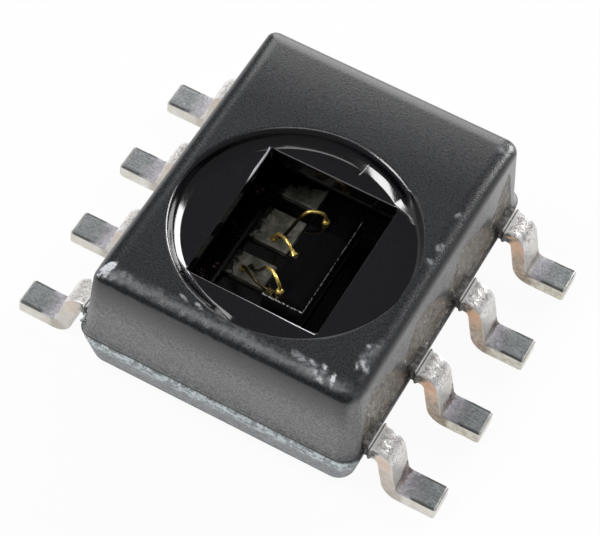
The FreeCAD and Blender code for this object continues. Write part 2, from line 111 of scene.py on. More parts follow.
LEAD_PITCH = 1.27
LEAD_WIDTH = 0.4
LEAD_THICK = 0.205
LEAD_LOW = 0.665  # underside of the lead frame over the board
LEAD_MIDDLE = LEAD_LOW + LEAD_THICK / 2
HEEL = 2.285  # where the outer heel line of the slope meets the board
TIP = 3.0
SLOPE = radians(77)
BEND_INNER = 0.07
BEND_STEPS = 14
LEAD_STEP = 0.02  # spacing of the sections along the straight runs
LEAD_EDGE = 0.016  # rounding along the edges of a lead
CHAMFER = 0.01  # length of the small chamfer at a finger's end
DAM_START = 2.0  # stub of the trimmed dam bar
DAM_LONG = 0.05
DAM_PROUD = 0.03
JOG = (1.72, 0.98)  # where the fan of fingers starts and ends, from the middle plane
FINGER_PITCH = 0.72
FINGER_WIDTH = 0.4
BROAD_FINGER = 0.56
TIP_BONDED = 0.24  # finger tips from the middle plane
TIP_SPARE = 0.72
ROWS = (1.5, 0.5, -0.5, -1.5)
HEEL_SHADES = (0.1, 0.1, 0.1, 0.2, 1.0, 0.95, 0.8, 0.5)  # how dark the painted shade at each lead's heel is
BARE_SIDES = (0.3, 0.3, 0.3, 0.3, 0.45, 1.0, 1.0, 1.0)  # how bare the copper of its near side is

# Wires

WIRE_RADIUS = 0.023
WIRE_SIDES = 14
STITCH = 0.09  # length over which a wire flattens into its stitch
WIRE_SHADE = 0.97  # how dark the painted shade on a wire is where it dips into the chamber
BALL_RADIUS = 0.05
BALL_TALL = 0.045
BALL_SIDES = 24
BALL_PROFILE = ((0.0, 0.0), (0.9, 0.0), (1.0, 0.18), (1.0, 0.5), (0.88, 0.78), (0.55, 0.97), (0.36, 1.15),
                (0.0, 1.2))


def add_object(name, data):
    """Puts an object into the scene."""
    added = bpy.data.objects.new(name, data)
    bpy.context.scene.collection.objects.link(added)
    return added


def make_camera():
    """The photograph's own view: place, axes and lens, as a fit to the corners of the part gave them."""
    place = Vector((6.998, -17.673, 27.748))
    right = Vector((0.87783, 0.47238, 0.07919))
    down = Vector((0.42912, -0.70219, -0.56813))
    ahead = Vector((-0.21277, 0.5327, -0.81912))
    focal_pixels, photo_width = 2572.94, 600
    data = bpy.data.cameras.new("photo_camera")
    camera = add_object("photo_camera", data)
    axes = Matrix((right, -down, -ahead)).transposed()
    camera.matrix_world = Matrix.Translation(place * MM) @ axes.to_4x4()
    data.sensor_width = 36.0
    data.lens = data.sensor_width * focal_pixels / photo_width
    data.clip_start = 0.001
    data.clip_end = 10.0
    bpy.context.scene.camera = camera


# Shader building blocks

class Value:
    """What a node gives. Sums, differences, products and the larger of two, written |, are nodes too."""

    def __init__(self, shader, socket):
        self.shader = shader
        self.socket = socket

    def calc(self, operation, *others):
        return self.shader.node("Math", 0, dict(enumerate((self, *others))), operation=operation)

    __add__ = partialmethod(calc, "ADD")
    __sub__ = partialmethod(calc, "SUBTRACT")
    __mul__ = partialmethod(calc, "MULTIPLY")
    __or__ = partialmethod(calc, "MAXIMUM")
    __abs__ = partialmethod(calc, "ABSOLUTE")

    def __rsub__(self, other):
        return self.shader.node("Math", 0, {0: other, 1: self}, operation="SUBTRACT")

    def clamped(self):
        """Keeps this sum or product between 0 and 1."""
        self.socket.node.use_clamp = True
        return self

    def band(self, low, high, to_low=0.0, to_high=1.0):
        """Maps a range of the value to another, clamped and eased."""
        inputs = {"Value": self, "From Min": low, "From Max": high, "To Min": to_low, "To Max": to_high}
        return self.shader.node("MapRange", "Result", inputs, interpolation_type="SMOOTHSTEP")

    def between(self, low, high, first, second):
        """A colour that goes from one to another over a range of the value."""
        return self.shader.mix(self.band(low, high), first, second)

    def under(self, *layers):
        """The colour with others laid over it, each a pair of a factor and a colour."""
        result = self
        for factor, colour in layers:
            result = self.shader.mix(factor, result, colour)
        return result


class Shader:
    """The nodes of a material or of the world in the making."""

    def __init__(self, owner, surface="Principled BSDF", end="Material Output"):
        owner.use_nodes = True
        self.tree = owner.node_tree
        self.surface = self.tree.nodes[surface]
        self.end = self.tree.nodes[end]

    def feed(self, socket, value):
        """Links a socket to a node's value, or sets it to a plain one. One number for a colour is a grey."""
        if isinstance(value, Value):
            self.tree.links.new(value.socket, socket)
        else:
            socket.default_value = (*np.broadcast_to(value, 3), 1.0) if socket.type == "RGBA" else value

    def node(self, kind, output, inputs=None, **settings):
        """Adds a node, sets it up, feeds its inputs and gives one of its outputs."""
        node = self.tree.nodes.new("ShaderNode" + kind)
        for name, setting in settings.items():
            setattr(node, name, setting)
        for key, value in (inputs or {}).items():
            self.feed(node.inputs[key], value)
        return Value(self, node.outputs[output])

    @cached_property
    def place(self):
        """The place in millimetres in the frame's axes."""
        metres = self.node("TexCoord", "Object")
        return self.node("VectorMath", 0, {0: metres, "Scale": 1 / MM}, operation="SCALE")

    def axis(self, name):
        """One coordinate of the place."""
        return self.node("SeparateXYZ", name, {0: self.place})

    def noise(self, scale, detail, roughness, distortion=0.0, stretch=None):
        place = self.place
        if stretch:
            place = self.node("VectorMath", 0, {0: place, 1: stretch}, operation="MULTIPLY")
        return self.node("TexNoise", "Fac", {"Vector": place, "Scale": scale, "Detail": detail,
                                             "Roughness": roughness, "Distortion": distortion})

    def cells(self, scale):
        return self.node("TexVoronoi", "Distance", {"Vector": self.place, "Scale": scale})

    def masks(self, *names):
        """Numbers that the mesh holds at each of its points."""
        return [self.node("Attribute", "Fac", attribute_name=name) for name in names]

    def mix(self, factor, first, second):
        """One colour over another."""
        return self.node("Mix", 2, {0: factor, 6: first, 7: second}, data_type="RGBA")

    def bump(self, height, distance, strength, below=None):
        """Tilts the surface by a height, whose full range is a distance in millimetres."""
        inputs = {"Strength": strength, "Distance": distance * MM, "Height": height}
        if below is not None:
            inputs["Normal"] = below
        return self.node("Bump", "Normal", inputs)

    def scratch(self, start, end, half_width):
        """One on a straight upright band over a line across the board plane, else zero."""
        length = dist(start, end)
        ahead = ((end[0] - start[0]) / length, (end[1] - start[1]) / length)

        def measure(direction):
            """Distance from the line's start in a level direction."""
            offset = start[0] * direction[0] + start[1] * direction[1]
            return self.axis("X") * direction[0] + self.axis("Y") * direction[1] - offset

        beside = abs(measure((-ahead[1], ahead[0]))).band(half_width, half_width * 0.4)
        from_middle = abs(measure(ahead) - length / 2)
        return beside * from_middle.band(length / 2, length / 2 - half_width)

    def finish(self, **sockets):
        """Feeds the surface's own sockets, named with underscores for spaces."""
        for name, value in sockets.items():
            self.feed(self.surface.inputs[name.replace("_", " ")], value)

    def overlay(self, factor, other):
        """Lays another surface over the finished one by a factor."""
        own = Value(self, self.surface.outputs[0])
        self.feed(self.end.inputs["Surface"], self.node("MixShader", 0, {0: factor, 1: own, 2: other}))


# Materials

def cap_resin(shader):
    """Black moulded epoxy: grained on top and sides, smooth in the seat, torn beside the leads, with painted
    reflection lightening the sides, painted highlights on the top's edges and the window's arris, and painted
    shade along the pockets' edges and at the foot.
    """
    seat, pocket, smear, side, highlight_spots, glint, dull = shader.masks(
        "seat", "pocket", "smear", "side", "highlight_spots", "glint", "dull")
    height = shader.axis("Z")
    grain = shader.noise(38, 2, 0.6)
    coarse = shader.noise(12, 3, 0.6)
    crumbs = shader.noise(13, 4, 0.85)
    gloss = grain.between(0.32, 0.7, (0.001, 0.002, 0.003), (0.014, 0.015, 0.018))
    # The sides go from black gloss to a light matte grey lower down and over the right wall, lighter still
    # towards its far end: painted reflection of the bright floor and painted sheen over the resin's matte
    # grain.
    right = shader.axis("X").band(1.66, 1.76) * height.band(1.93, 1.8)
    far_sheen = right * shader.axis("Y").band(0.9, 2.3, 0.0, 0.8)
    floor_sheen = (height.band(1.9, 1.2) | right) * coarse.band(0.2, 0.6, 0.8, 1.0)
    lit_matte = grain.between(0.3, 0.7, (0.11, 0.11, 0.111), (0.3, 0.301, 0.307))
    lit_matte = lit_matte.under((far_sheen, 0.46))
    black = shader.mix(grain, 0.001, (0.008, 0.006, 0.009))
    brown = crumbs.between(0.32, 0.68, (0.045, 0.037, 0.028), (0.28, 0.24, 0.195))
    brown = brown.under((shader.noise(5, 3, 0.6).band(0.56, 0.72, 0.0, 0.4), (0.2, 0.13, 0.09)))
    # A dark line along the edge of each torn pocket: painted shade.
    brink_shade = pocket * (1.0 - pocket)
    stain = crumbs.between(0.55, 0.75, (0.01, 0.009, 0.008), (0.11, 0.1, 0.09))
    specks = shader.noise(17, 3, 0.8).band(0.56, 0.66, 0.0, 0.8)
    flecks = shader.noise(16, 3, 0.8).band(0.6, 0.7, 0.0, 0.9)
    # Pale spots on the top's edges: painted highlights, made a little rougher.
    glare = (highlight_spots * shader.noise(17, 3, 0.7).band(0.36, 0.6, 0.18, 1.25)).clamped()
    colour = gloss.under(
        (side, gloss.under((floor_sheen, lit_matte))), (seat, black), (pocket, brown),
        ((brink_shade * 3.2).clamped(), (0.035, 0.032, 0.03)), (smear, stain),
        (pocket * specks, (0.04, 0.034, 0.027)), (pocket * flecks, (0.88, 0.8, 0.7)),
        (glare, (0.72, 0.75, 0.8)), (glint.band(0.0, 0.7), (0.9, 0.89, 0.95)),
        # Near black at the foot, where the cap meets the ledge: painted shade.
        (height.band(0.815, 0.785), (0.012, 0.012, 0.013)), (dull * 0.9, 0.002),
        (shader.scratch(*SCRATCH, 0.01) * 0.8, 0.75))
    rough = grain.band(0.25, 0.75, 0.25, 0.33) + seat * -0.17 + dull * 0.5 + side * 0.2
    fine = shader.bump(grain * (1.0 - seat), 0.003, 0.6)
    broken = shader.bump(pocket * crumbs, 0.01, 0.7, fine)
    shader.finish(Base_Color=colour, Roughness=(rough + glare * 0.25).clamped(), Normal=broken, IOR=1.8)


def base_resin(shader):
    """Blue-grey moulded epoxy, scuffed, with broken flash along its top shoulder painted with sparkle
    highlights on the front and back and with shade on the lead sides, and its inside painted near black as
    shade.
    """
    shoulder, inside = shader.masks("shoulder", "inside")
    height, along = shader.axis("Z"), shader.axis("Y")
    cloud = shader.noise(3.0, 4, 0.65)
    grain = shader.noise(30, 3, 0.7)
    scuffs = shader.noise(9, 4, 0.7, 0.4, (1.0, 1.0, 3.0))
    # Along the front and back the ledge and the band under it are bright grey with white flecks, dimmer
    # towards the far side, and along the lead sides near black: broken flash with painted sparkle highlights,
    # and painted shade.
    flecks = shader.noise(11, 4, 0.75).band(0.46, 0.54) * along.band(2.25, 2.42, 1.0, 0.35)
    bright = grain.between(0.35, 0.65, (0.24, 0.26, 0.27), (0.5, 0.54, 0.56))
    bright = bright.under((flecks, (0.88, 0.97, 1.0)))
    dim = shader.mix(grain, (0.015, 0.014, 0.013), (0.16, 0.15, 0.14))
    ledge = dim.under((abs(along).band(2.2, 2.34), bright))
    ledge_band = (height + scuffs * 0.3).band(0.62, 0.76)
    beside = shader.axis("X").band(-0.72, -0.92) * cloud.band(0.45, 0.6)
    specks = shader.noise(14, 4, 0.8).band(0.58, 0.68) * beside
    colour = cloud.between(0.3, 0.7, (0.27, 0.28, 0.3), (0.38, 0.395, 0.415)).under(
        (height.band(0.38, 0.7, 0.25, 1.0) * scuffs.band(0.44, 0.6), (0.62, 0.66, 0.7)),
        (shader.noise(17, 4, 0.8).band(0.5, 0.62, 0.0, 0.7), (0.13, 0.13, 0.14)),
        (shader.noise(21, 4, 0.8).band(0.54, 0.62, 0.0, 0.6), (0.66, 0.69, 0.72)),
        (height.band(0.25, 0.15), (0.13, 0.135, 0.145)), (shoulder | ledge_band, ledge),
        # Near black inside, under the cap, with reddish specks at its left: painted shade over the resin.
        (inside, shader.mix(specks, (0.0012, 0.001, 0.0012), (0.26, 0.16, 0.13))))
    outside = 1.0 - inside * 0.9
    relief = shader.bump(grain * outside, 0.01, 0.6)
    relief = shader.bump(scuffs * outside, 0.03, 0.5, relief)
    shader.finish(Base_Color=colour, Roughness=grain.band(0.3, 0.7, 0.42, 0.6) - inside * 0.3, Normal=relief,
                  IOR=1.5)


def seal_resin(shader):
    """Broken flash and adhesive on the ledge: grey crumbs, painted bright with sparkling facets along the
    front, back and left, and dark on the right: painted light and shade.
    """
    grit = shader.noise(24, 4, 0.8)
    bright = grit.between(0.44, 0.54, (0.1, 0.105, 0.11), (0.84, 0.9, 0.93))
    dim = shader.mix(grit, (0.01, 0.009, 0.008), (0.12, 0.11, 0.1))
    # Where the crumbs are painted lit: the front, the back and the left side.
    lit_crumbs = abs(shader.axis("Y")).band(2.2, 2.34) | shader.axis("X").band(-1.6, -1.8)
    shader.finish(Base_Color=dim.under((lit_crumbs, bright)), Roughness=shader.cells(30).band(0.1, 0.5, 0.18, 0.5),
                  Normal=shader.bump(grit, 0.03, 0.8), IOR=1.7)


def tinned_lead(shader):
    """Tin plate over copper: mottled at the shoulder, dull on the foot, bare copper on the near side, with
    painted highlights along the shoulder's edges and painted shade at the heel, at the near side's neck and
    over the fingers under the roof.
    """
    run, top, near, across, heel_shade = shader.masks("run", "top", "near", "across", "heel_shade")
    x = shader.axis("X")
    grain = shader.noise(36, 3, 0.7)
    mottle = shader.noise(14, 3, 0.65, 0.5)
    cloud = shader.noise(4, 3, 0.6)
    lines = abs(shader.noise(13, 1, 0.4, 0.4) - 0.5)
    streaks = shader.noise(38, 3, 0.7, 0.0, (0.7, 1.0, 1.0))
    ragged = run + shader.noise(9, 3, 0.7).band(0.3, 0.7, -0.06, 0.06)

    cream = cloud.between(0.3, 0.7, (0.74, 0.71, 0.65), (0.88, 0.87, 0.84))
    cream = cream.under((mottle.band(0.5, 0.75, 0.0, 0.35), (0.52, 0.48, 0.41)))
    silver = mottle.between(0.4, 0.7, (0.96, 0.94, 0.91), (0.75, 0.7, 0.68)).under(
        (lines.band(0.01, 0.05, 0.7, 0.0), (0.33, 0.29, 0.29)),
        # Near white along both edges of the shoulder's top: painted highlight.
        (across.band(0.66, 0.88) * mottle.band(0.65, 0.45, 0.3, 1.0), (0.95, 0.94, 0.93)),
        (run.band(0.095, 0.08), (0.95, 0.94, 0.92)),
        (abs(run - 0.048).band(0.012, 0.005), (0.16, 0.15, 0.14)))
    foot = streaks.between(0.3, 0.7, (0.24, 0.255, 0.26), (0.42, 0.44, 0.445)).under(
        (cloud.band(0.45, 0.7, 0.0, 0.4), (0.52, 0.53, 0.54)),
        (across.band(0.76, 0.9, 0.0, 0.85), (0.07, 0.07, 0.065)))
    lilac = grain.between(0.3, 0.7, (0.4, 0.385, 0.42), (0.62, 0.6, 0.64))
    brown = mottle.between(0.3, 0.6, (0.15, 0.115, 0.112), (0.34, 0.28, 0.275))
    # A brown blotch at the heel, strongest on some leads and towards their far side: painted shade.
    blotch = heel_shade.calc("MULTIPLY_ADD", 0.2, ragged).band(0.78, 0.83) * (heel_shade * 1.5).clamped()
    upper = silver.under(
        (ragged.band(0.34, 0.46), cream), (blotch, brown), (ragged.band(0.9, 0.94), lilac),
        (ragged.band(1.04, 1.2), foot), (abs(x).band(TIP - 0.03, TIP - 0.012, 0.0, 0.8), cream))

    copper = cloud.between(0.3, 0.7, (0.86, 0.51, 0.33), (0.97, 0.7, 0.51))
    beige = mottle.between(0.35, 0.65, (0.46, 0.37, 0.29), (0.7, 0.58, 0.48))
    foot_side = mottle.between(0.35, 0.65, (0.52, 0.49, 0.41), (0.72, 0.7, 0.62))
    # Dark grey-brown at the neck next to the body, then copper and beige lower down: the dark neck is painted
    # shade.
    bare = ragged.between(0.1, 0.2, (0.24, 0.21, 0.17), copper).under(
        (ragged.band(0.3, 0.62), beige), (ragged.band(0.9, 1.1), foot_side))

    resin = mottle.between(0.4, 0.64, (0.09, 0.088, 0.082), (0.28, 0.27, 0.26))
    coated = top * run.band(0.01, 0.024, 1.0, 0.0) + (1.0 - top) * ragged.band(0.08, 0.14, 1.0, 0.0)
    plate = shader.noise(7, 4, 0.65).between(0.35, 0.7, (0.13, 0.13, 0.1), (0.34, 0.33, 0.28))
    plate = plate.under((mottle.band(0.6, 0.72, 0.0, 0.4), (0.4, 0.28, 0.13)))
    inner = run.band(-0.62, -0.58, 1.0, 0.0)
    uneven = mottle.band(0.3, 0.7, -0.06, 0.06)
    corner = x.calc("MULTIPLY_ADD", -0.37, shader.axis("Y"))
    # Near black over the fingers' outer ends and the far corner, where the cap's roof keeps the light off:
    # painted shadow.
    roof_shadow = inner * ((abs(x) + uneven).band(0.69, 0.75) | (corner + uneven).band(1.14, 1.18))
    colour = cream.under((near, bare), (top, upper), (coated, resin), (inner, plate),
                         (roof_shadow, (0.004, 0.0035, 0.0035)))

    metal = ragged.band(0.95, 1.05, 0.45, 0.85) + run.band(0.1, 0.08, 0.0, -0.3)
    metal = ((metal * (1.0 - coated) - inner * 0.35) * (1.0 - roof_shadow)).clamped()
    rough = grain.band(0.3, 0.7, 0.34, 0.5) + top * run.band(0.4, 0.5, -0.06, 0.0)
    rough = rough + run.band(0.78, 0.86) * run.band(1.04, 0.98) * 0.25
    wrinkled = top * run.band(0.4, 0.52, 1.0, 0.15) * mottle
    relief = shader.bump(wrinkled, 0.02, 0.5, shader.bump(grain, 0.005, 0.5))
    shader.finish(Base_Color=colour, Metallic=metal, Roughness=rough, Normal=relief)


def plated_paddle(shader):
    """Dull silver plate, dark because it lies in the chamber."""
    cloud = shader.noise(8, 4, 0.6)
    shader.finish(Base_Color=shader.mix(cloud, (0.01, 0.009, 0.008), (0.035, 0.033, 0.028)), Metallic=0.5,
                  Roughness=cloud.band(0.3, 0.7, 0.35, 0.55),
                  Normal=shader.bump(shader.noise(30, 3, 0.7), 0.006, 0.6))


def silver_epoxy(shader):
    """Dark adhesive full of filler."""
    grit = shader.noise(40, 4, 0.75)
    shader.finish(Base_Color=grit.between(0.4, 0.7, 0.004, (0.04, 0.04, 0.038)),
                  Roughness=grit.band(0.3, 0.7, 0.25, 0.5), Normal=shader.bump(grit, 0.008, 0.7))


def silicon(shader):
    """Polished silicon, all but black, with a faint stain."""
    colour = shader.noise(3, 3, 0.6).between(0.35, 0.7, 0.001, (0.003, 0.002, 0.003))
    shader.finish(Base_Color=colour, Roughness=shader.noise(22, 3, 0.6).band(0.3, 0.7, 0.02, 0.05), IOR=1.35)


def sawn_silicon(shader):
    """The chipped arris that the saw leaves round the die: its near and right runs catch light in dots."""
    chips = shader.noise(28, 3, 0.8)
    right = shader.axis("X").band(die_high[0] - 0.05, die_high[0] - 0.02)
    close = shader.axis("Y").band(die_low[1] + 0.05, die_low[1] + 0.02)
    lit = (right | close) * chips.band(0.42, 0.58)
    shader.finish(Base_Color=shader.mix(lit, (0.01, 0.01, 0.012), 0.9),
                  Roughness=chips.band(0.3, 0.7, 0.15, 0.45), Normal=shader.bump(chips, 0.006, 0.8))


def sensing_polymer(shader):
    """A thin glossy dark film."""
    cloud = shader.noise(5, 3, 0.6)
    shader.finish(Base_Color=shader.mix(cloud, 0.001, (0.004, 0.002, 0.002)),
                  Roughness=cloud.band(0.3, 0.7, 0.04, 0.09), IOR=1.3)


def porous_electrode(shader):
    """Thin dark metal with fine pores."""
    pores = shader.cells(60)
    shader.finish(Base_Color=pores.between(0.1, 0.5, 0.001, (0.005, 0.004, 0.005)), Metallic=0.2,
                  Roughness=pores.band(0.1, 0.6, 0.05, 0.12), Normal=shader.bump(pores, 0.001, 0.2), IOR=1.3)


def pad_metal(shader):
    """Bare sputtered metal."""
    grain = shader.noise(60, 3, 0.7)
    shader.finish(Base_Color=shader.mix(grain, (0.1, 0.09, 0.06), (0.24, 0.2, 0.12)), Metallic=0.9,
                  Roughness=grain.band(0.3, 0.7, 0.12, 0.25))


def gold_wire(shader):
    """Drawn gold with fine marks, painted dark as shade where it dips into the chamber."""
    marks = shader.noise(40, 3, 0.7)
    gold = marks.between(0.3, 0.7, (1.0, 0.66, 0.12), (1.0, 0.8, 0.3))
    shader.finish(Base_Color=gold.under((shader.masks("dull")[0], (0.02, 0.013, 0.004))), Metallic=0.7,
                  Roughness=marks.band(0.3, 0.7, 0.2, 0.38), Normal=shader.bump(marks, 0.003, 0.5))


# Mesh building blocks

def fractal(point, scale, octaves):
    """Smooth random height between about -1 and 1 at a place, given a scale in waves per millimetre."""
    return noise.fractal(Vector(point) * scale, 0.9, 2.0, octaves)


def unevenness(points, scale, octaves=3, where=None):
    """Smooth random heights at points, and zero where a mask is given and not set."""
    chosen = np.ones(len(points), bool) if where is None else where
    return np.array([fractal(point, scale, octaves) if use else 0.0 for point, use in zip(points, chosen)])


def make_piece(name, points, faces, materials, replaced, masks=None, face_materials=None, smooth=True):
    """Makes a mesh of the part from places in millimetres, which stands for a node on the one body.
    """
    mesh = bpy.data.meshes.new(name)
    mesh.from_pydata((np.asarray(points) * MM).tolist(), [], faces)
    for mask, values in (masks or {}).items():
        layer = mesh.attributes.new(mask, "FLOAT", "POINT")
        layer.data.foreach_set("value", np.asarray(values, np.float32))
    for material in materials:
        mesh.materials.append(MATERIALS[material])
    if face_materials is not None:
        mesh.polygons.foreach_set("material_index", face_materials)
    shell = bmesh.new()
    shell.from_mesh(mesh)
    bmesh.ops.recalc_face_normals(shell, faces=shell.faces)
    shell.to_mesh(mesh)
    shell.free()
    mesh.polygons.foreach_set("use_smooth", [smooth] * len(mesh.polygons))
    piece = add_object(name, mesh)
    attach(piece, "root")
    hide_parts(replaced)


def belt(count, low, high):
    """Quads between two rings of points, given the first point of each."""
    return [(low + index, low + (index + 1) % count, high + (index + 1) % count, high + index)
            for index in range(count)]


def bridge(count, rows, closed=False, first=0):
    """Quads between rings of points that lie one after another."""
    faces = []
    for row in range(rows if closed else rows - 1):
        faces += belt(count, first + row * count, first + (row + 1) % rows * count)
    return faces


def fan(count, first, centre):
    """Triangles from a ring to one point."""
    return [(first + index, first + (index + 1) % count, centre) for index in range(count)]


def divided(start, end, count):
    """Places in even steps from a start towards an end, without the end."""
    return [tuple(low + step / count * (high - low) for low, high in zip(start, end))
            for step in range(count)]


def unit(values):
    """The values, kept between 0 and 1."""
    return np.clip(values, 0, 1)


def quarter(steps):
    """Angles of a quarter turn, both ends among them."""
    return np.linspace(0, pi / 2, steps)


def corner_arcs(half_x, half_y, radius, steps):
    """The four corners of a rounded rectangle, counter-clockwise, each a list of places."""
    arcs = []
    for side_x, side_y, start in ((1, 1, 0), (-1, 1, 90), (-1, -1, 180), (1, -1, 270)):
        turns = [radians(start + 90 * step / steps) for step in range(steps + 1)]
        arcs.append([(side_x * (half_x - radius) + radius * cos(turn),
                      side_y * (half_y - radius) + radius * sin(turn)) for turn in turns])
    return arcs


# The two mouldings and the seal are drawn as rings round one upright axis in the filter seat

WINDOW_SHAPE = (*WINDOW, WINDOW_CORNER, *AXIS)
CHAMBER_SHAPE = (*CHAMBER, INNER_CORNER, 0.0, BED_MIDDLE)
RIM_SHAPE = (*RIM, INNER_CORNER, 0.0, BED_MIDDLE)
WELL_SHAPE = (*WELL, INNER_CORNER, WELL_SHIFT, BED_MIDDLE)


def ring_angles():
    """Directions of the points of every ring: even steps, and more at the corners of what it follows."""
    angles = list(np.linspace(0, 2 * pi, 720, endpoint=False))
    shapes = [(*cap_high[:2], radius, 0.0, 0.0) for radius in CAP_CORNERS]
    for half_x, half_y, radius, x, y in (WINDOW_SHAPE, CHAMBER_SHAPE, RIM_SHAPE, WELL_SHAPE, *shapes):
        for spot in sum(corner_arcs(half_x, half_y, radius, 12), []):
            angles.append(atan2(y + spot[1] - AXIS[1], x + spot[0] - AXIS[0]) % (2 * pi))
    angles = np.unique(np.round(angles, 5))
    return angles[np.concatenate(([True], np.diff(angles) > 4e-4))]


ANGLES = ring_angles()
COUNT = len(ANGLES)
COSINES, SINES = np.cos(ANGLES), np.sin(ANGLES)


def by_corner(radii):
    """The radius that each ray meets, given those of the far right, far left, near left and near right."""
    return np.select([(COSINES >= 0) & (SINES >= 0), (COSINES < 0) & (SINES >= 0),
                      (COSINES < 0) & (SINES < 0)], radii[:3], radii[3])


def reach(half_x, half_y, radius, middle_x=0.0, middle_y=0.0):
    """How far each ray from the axis runs before it leaves a rounded rectangle."""
    near = np.zeros(COUNT)
    far = np.full(COUNT, 8.0)
    for _ in range(42):
        middle = (near + far) / 2
        x = np.abs(AXIS[0] + middle * COSINES - middle_x) - (half_x - radius)
        y = np.abs(AXIS[1] + middle * SINES - middle_y) - (half_y - radius)
        outside = np.hypot(np.maximum(x, 0), np.maximum(y, 0)) + np.minimum(np.maximum(x, y), 0) > radius
        near, far = np.where(outside, near, middle), np.where(outside, middle, far)
    return (near + far) / 2


def ring(distance, height):
    """Points of one ring at the given distances along the rays."""
    height = np.broadcast_to(height, COUNT)
    return np.stack([AXIS[0] + distance * COSINES, AXIS[1] + distance * SINES, height], axis=1)


def outward(points):
    """Level directions from the axis to points."""
    away = points[:, :2] - np.array(AXIS)
    return away / np.linalg.norm(away, axis=1)[:, None]


class Rings:
    """The rings of a moulding in their order, and the named numbers that their points carry."""

    def __init__(self, *names):
        self.names = names
        self.rings = []
        self.numbers = []

    def add(self, distance, height, **numbers):
        self.rings.append(ring(distance, height))
        self.numbers.append([np.broadcast_to(numbers.get(name, 0.0), COUNT) for name in self.names])

    def joined(self):
        return np.concatenate(self.rings), np.concatenate(self.numbers, axis=1)


# Cap

def seat_profile(tilt):
    """Radii and heights of the seat's wall: its tilt added up from the floor to the cap's top."""
    radii = np.linspace(tilt[0][0], tilt[-1][0], 331)
    slopes = np.tan(np.radians(np.interp(radii, *np.array(tilt).T)))
    rises = np.concatenate(([0], np.cumsum((slopes[1:] + slopes[:-1]) / 2 * np.diff(radii))))
    return radii, SEAT_FLOOR + rises / rises[-1] * (cap_high[2] - SEAT_FLOOR)


SEAT_PROFILES = (seat_profile(SEAT_TILT), seat_profile(STEEP_TILT))
STEEP_SHARE = np.interp(np.degrees(ANGLES), *STEEP_ARC)
DULL_SHARE = np.interp(np.degrees(ANGLES), *DULL_ARC)


def seat_height(distance):
    """Height of the filter seat's floor and wall along each ray, at distances from its axis."""
    sloped, steep = (np.interp(distance, *profile) for profile in SEAT_PROFILES)
    return sloped + STEEP_SHARE * (steep - sloped)


def cap_reach(height, inset=0.0):
    """Distance to the cap's drafted wall at a height, moved inwards by an inset."""
    rise = (height - cap_low[2]) / (cap_high[2] - cap_low[2])
    half_x = cap_high[0] - (cap_high[0] - CAP_TOP[0]) * rise - inset
    half_y = cap_high[1] - (cap_high[1] - CAP_TOP[1]) * rise - inset
    radius = np.maximum(by_corner(CAP_CORNERS) - inset * 0.6, 0.04)
    return reach(half_x, half_y, radius, CAP_LEAN * rise)


def top_fall(distance):
    """How far the cap's top has fallen at distances along each ray."""
    share = (AXIS[1] + distance * SINES - CROWN[0]) / (CAP_TOP[1] - CAP_EDGE[0] - CROWN[0])
    return CROWN[1] * unit(share) ** 2


# Pale spots on the top's edges where the lamps glint: painted highlights.
PAINTED_HIGHLIGHTS = (  # x, y, half length, half width, heading in degrees, strength
    (-1.7, -2.13, 0.105, 0.05, 57, 3.0), (-1.45, -2.13, 0.14, 0.05, 0, 0.2),
    (-1.0, -2.12, 0.16, 0.05, -5, 0.12), (-0.68, -2.05, 0.07, 0.025, -25, 0.4),
    (-0.47, -2.06, 0.07, 0.025, -25, 0.4), (0.2, -2.12, 0.2, 0.05, 0, 0.14),
    (0.91, -2.065, 0.12, 0.045, -10, 0.3), (1.17, -2.13, 0.24, 0.08, -10, 0.22),
    (1.09, -2.06, 0.05, 0.035, -35, 0.45), (1.25, -2.045, 0.035, 0.03, 0, 0.75),
    (1.19, -2.155, 0.045, 0.034, -40, 0.6), (1.28, -2.21, 0.045, 0.03, -20, 0.7),
    (1.405, -2.14, 0.08, 0.024, 95, 2.0), (1.57, -1.83, 0.05, 0.02, -62, 0.55),
    (1.635, -1.77, 0.095, 0.045, -37, 0.6), (1.61, -1.6, 0.22, 0.07, 80, 0.16),
    (1.62, -1.5, 0.12, 0.045, 70, 0.2), (1.56, -1.5, 0.03, 0.025, 0, 0.4),
    (1.63, 0.0, 0.05, 0.04, 70, 0.3), (1.64, 0.25, 0.06, 0.04, 70, 0.3),
    (1.62, 0.81, 0.05, 0.035, 70, 0.25), (1.66, 2.06, 0.1, 0.05, 0, 0.2))
POCKET_LINE = ((-0.3, 1.3), (-0.23, 1.38), (-0.14, 1.57), (0.06, 1.67), (0.37, 1.56), (0.6, 1.45),
               (0.82, 1.27), (0.97, 1.3))  # along Y from a lead, and how high the torn pocket reaches


def wall_masks(points, side):
    """The torn pockets of the lead-side walls, and the dark smears that run down to each lead."""
    along, height = points[:, 1], points[:, 2]
    on_wall = (side > 0.5) & (np.abs(points[:, 0]) > 1.7) & (np.abs(along) < 2.22)
    place = (along + 1.5 * LEAD_PITCH - POCKET_LINE[0][0]) % LEAD_PITCH + POCKET_LINE[0][0]
    line = np.interp(place, *np.array(POCKET_LINE).T) - unit((np.abs(along) - 2.0) / 0.2)
    ragged = unevenness(points, 7, 3, on_wall) * 0.05
    pocket = np.where(on_wall, unit((line + ragged - height) / 0.05), 0)
    middle = LEAD_PITCH - 0.62 + 0.5 * unit((1.45 - height) / 0.68)
    gap = np.abs((place - middle + LEAD_PITCH / 2) % LEAD_PITCH - LEAD_PITCH / 2)
    smear = unit(1.3 - (gap + ragged) / 0.1) * unit((1.5 + ragged - height) / 0.08)
    return pocket, np.where(on_wall & (np.abs(along) < 2.1), smear, 0)


